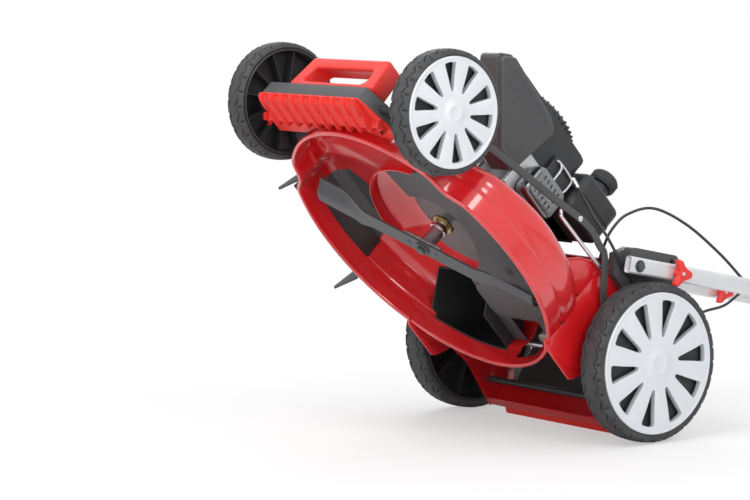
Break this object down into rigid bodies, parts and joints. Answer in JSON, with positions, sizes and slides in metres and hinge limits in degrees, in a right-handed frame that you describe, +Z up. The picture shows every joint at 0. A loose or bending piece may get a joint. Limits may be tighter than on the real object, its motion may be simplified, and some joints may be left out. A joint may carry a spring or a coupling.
{
  "type": "self-propelled lawn mower",
  "caption": "Walk-behind petrol lawn mower with red oval deck, spoked wheels, belt-driven rear axle, discharge tunnel, side flap and folding tube handle.",
  "frame": {"origin": "on the ground under the middle of the overall box", "axes": "+Y from the front wheels back to the handle grip, +X to the mower's left, +Z up"},
  "size_m": [0.606, 1.5662, 1.0098],
  "materials": {
    "red_paint": "gloss",
    "red_plastic": "satin",
    "charcoal_plastic": "matt",
    "black_plastic": "satin",
    "black_steel": "satin",
    "tyre_rubber": "matt",
    "belt_rubber": "matt",
    "silver_plastic": "satin",
    "grey_plate": "matt",
    "plain_steel": "satin",
    "dark_steel": "satin",
    "cast_alloy": "cast",
    "silver_tube": "satin",
    "cable_sheath": "satin",
    "grip_foam": "matt"
  },
  "bodies": {
    "chassis": {"deck_shell": "red_paint", "belt_cover": "grey_plate", "belt_guard": "charcoal_plastic", "discharge_tunnel": "black_plastic", "rear_body": "red_paint", "rear_skirt": "red_plastic", "front_bumper": "red_plastic", "bumper_trim": "charcoal_plastic", "handle_bracket_left": "charcoal_plastic", "handle_bracket_right": "charcoal_plastic", "crankcase": "cast_alloy", "muffler": "plain_steel", "air_filter_cover": "charcoal_plastic", "blower_shroud": "black_plastic", "recoil_cover": "black_plastic", "fuel_tank": "black_plastic", "drive_belt": "belt_rubber", "brake_cable_lower": "cable_sheath", "drive_cable_lower": "cable_sheath"},
    "crank": {"crankshaft": "plain_steel", "blade_adapter": "plain_steel", "blade": "dark_steel", "blade_bolt": "dark_steel", "crank_pulley": "plain_steel"},
    "front_carrier": {"front_axle": "black_steel"},
    "rear_carrier": {"rear_axle_frame": "black_steel", "height_lever": "dark_steel"},
    "front_left_wheel": {"front_left_tyre": "tyre_rubber", "front_left_rim": "black_plastic", "front_left_hub_cap": "silver_plastic"},
    "front_right_wheel": {"front_right_tyre": "tyre_rubber", "front_right_rim": "black_plastic", "front_right_hub_cap": "silver_plastic"},
    "rear_left_wheel": {"rear_left_tyre": "tyre_rubber", "rear_left_rim": "black_plastic", "rear_left_hub_cap": "silver_plastic"},
    "rear_right_wheel": {"rear_right_tyre": "tyre_rubber", "rear_right_rim": "black_plastic", "rear_right_hub_cap": "silver_plastic"},
    "drive_axle": {"drive_axle": "plain_steel"},
    "gearbox": {"gearbox_housing": "cast_alloy"},
    "gear_input": {"gearbox_pulley": "plain_steel"},
    "height_link": {"height_link": "charcoal_plastic"},
    "side_flap": {"side_flap": "charcoal_plastic"},
    "rear_door": {"rear_door": "charcoal_plastic"},
    "lower_handle": {"lower_handle_left": "silver_tube", "lower_handle_right": "silver_tube", "brake_cable_upper": "cable_sheath", "drive_cable_upper": "cable_sheath"},
    "upper_handle": {"upper_handle": "silver_tube", "handle_grip": "grip_foam"},
    "bracket_knob_left": {"bracket_knob_left": "red_plastic"},
    "bracket_knob_right": {"bracket_knob_right": "red_plastic"},
    "fold_knob_left": {"fold_knob_left": "red_plastic"},
    "fold_knob_right": {"fold_knob_right": "red_plastic"},
    "stop_bail": {"stop_bail": "black_steel"},
    "drive_bail": {"drive_bail": "red_paint"},
    "fuel_cap": {"fuel_cap": "black_plastic"},
    "starter_grip": {"starter_grip": "black_plastic", "starter_rope": "cable_sheath"}
  },
  "joints": [
    {"name": "height_lever_turn", "type": "hinge", "parent": "chassis", "child": "rear_carrier", "pos_m": [0.027, 0.01542, 0.088], "axis": [1, 0, 0], "range_deg": [0, 36.5], "deforming": ["drive_belt", "drive_cable_lower"]},
    {"name": "front_axle_turn", "type": "hinge", "parent": "chassis", "child": "front_carrier", "pos_m": [0.027, -0.71458, 0.064], "axis": [1, 0, 0], "range_deg": [-55.5, 0]},
    {"name": "height_link_slide", "type": "slide", "parent": "chassis", "child": "height_link", "axis": [0, 1, 0], "range_m": [-0.037, 0]},
    {"name": "gearbox_level", "type": "hinge", "parent": "rear_carrier", "child": "gearbox", "pos_m": [0.027, -0.04658, 0.14], "axis": [1, 0, 0], "range_deg": [-36.5, 0]},
    {"name": "drive_axle_turn", "type": "hinge", "parent": "rear_carrier", "child": "drive_axle", "pos_m": [0.027, -0.04658, 0.14], "axis": [1, 0, 0], "continuous": true},
    {"name": "crank_turn", "type": "hinge", "parent": "chassis", "child": "crank", "pos_m": [0.027, -0.40008, 0.15], "axis": [0, 0, 1], "continuous": true},
    {"name": "gearbox_pulley_turn", "type": "hinge", "parent": "gearbox", "child": "gear_input", "pos_m": [0.085, -0.11258, 0.1515], "axis": [0, 0, 1], "continuous": true},
    {"name": "side_flap_lift", "type": "hinge", "parent": "chassis", "child": "side_flap", "pos_m": [-0.151, -0.40008, 0.1425], "axis": [0, 1, 0], "range_deg": [0, 70], "stiffness_Nm_per_rad": 0.25, "springref_deg": -34.38},
    {"name": "rear_door_lift", "type": "hinge", "parent": "chassis", "child": "rear_door", "pos_m": [0.027, 0.01142, 0.276], "axis": [1, 0, 0], "range_deg": [0, 85], "stiffness_Nm_per_rad": 0.5, "springref_deg": -45.84},
    {"name": "handle_tilt", "type": "hinge", "parent": "chassis", "child": "lower_handle", "pos_m": [0.027, -0.18658, 0.237], "axis": [1, 0, 0], "range_deg": [0, 12], "deforming": ["brake_cable_lower", "drive_cable_lower"]},
    {"name": "handle_fold", "type": "hinge", "parent": "lower_handle", "child": "upper_handle", "pos_m": [0.027, 0.35081, 0.64048], "axis": [1, 0, 0], "range_deg": [0, 165], "deforming": ["brake_cable_upper", "drive_cable_upper"]},
    {"name": "stop_bail_squeeze", "type": "hinge", "parent": "upper_handle", "child": "stop_bail", "pos_m": [0.027, 0.68668, 0.89266], "axis": [1, 0, 0], "range_deg": [-23, 0], "stiffness_Nm_per_rad": 2, "springref_deg": 20.05},
    {"name": "drive_bail_squeeze", "type": "hinge", "parent": "upper_handle", "child": "drive_bail", "pos_m": [0.027, 0.65869, 0.87164], "axis": [1, 0, 0], "range_deg": [0, 21.5], "stiffness_Nm_per_rad": 2, "springref_deg": -20.05},
    {"name": "fuel_cap_turn", "type": "hinge", "parent": "chassis", "child": "fuel_cap", "pos_m": [0.101, -0.24258, 0.362], "axis": [0, 0, 1], "range_deg": [0, 90]},
    {"name": "starter_pull", "type": "slide", "parent": "chassis", "child": "starter_grip", "axis": [0, 1, 0], "range_m": [0, 0.6], "stiffness_N_per_m": 12, "springref_m": -0.4, "deforming": ["starter_rope"]},
    {"name": "front_left_wheel_turn", "type": "hinge", "parent": "front_carrier", "child": "front_left_wheel", "pos_m": [0.027, -0.67858, 0.104], "axis": [1, 0, 0], "continuous": true},
    {"name": "rear_left_wheel_turn", "type": "hinge", "parent": "rear_carrier", "child": "rear_left_wheel", "pos_m": [0.027, -0.04658, 0.14], "axis": [1, 0, 0], "continuous": true},
    {"name": "bracket_knob_left_turn", "type": "hinge", "parent": "lower_handle", "child": "bracket_knob_left", "pos_m": [0.027, -0.1146, 0.29104], "axis": [1, 0, 0], "continuous": true},
    {"name": "fold_knob_left_turn", "type": "hinge", "parent": "lower_handle", "child": "fold_knob_left", "pos_m": [0.027, 0.35081, 0.64048], "axis": [1, 0, 0], "continuous": true},
    {"name": "front_right_wheel_turn", "type": "hinge", "parent": "front_carrier", "child": "front_right_wheel", "pos_m": [0.027, -0.67858, 0.104], "axis": [1, 0, 0], "continuous": true},
    {"name": "rear_right_wheel_turn", "type": "hinge", "parent": "rear_carrier", "child": "rear_right_wheel", "pos_m": [0.027, -0.04658, 0.14], "axis": [1, 0, 0], "continuous": true},
    {"name": "bracket_knob_right_turn", "type": "hinge", "parent": "lower_handle", "child": "bracket_knob_right", "pos_m": [0.027, -0.1146, 0.29104], "axis": [1, 0, 0], "continuous": true},
    {"name": "fold_knob_right_turn", "type": "hinge", "parent": "lower_handle", "child": "fold_knob_right", "pos_m": [0.027, 0.35081, 0.64048], "axis": [1, 0, 0], "continuous": true}
  ],
  "couplings": [
    {"joint": "front_axle_turn", "follows": "height_lever_turn", "ratio": -1.5206},
    {"joint": "height_link_slide", "follows": "height_lever_turn", "m_per_rad": -0.05807},
    {"joint": "gearbox_level", "follows": "height_lever_turn", "ratio": -1},
    {"joint": "gearbox_pulley_turn", "follows": "crank_turn", "ratio": 0.91667}
  ]
}
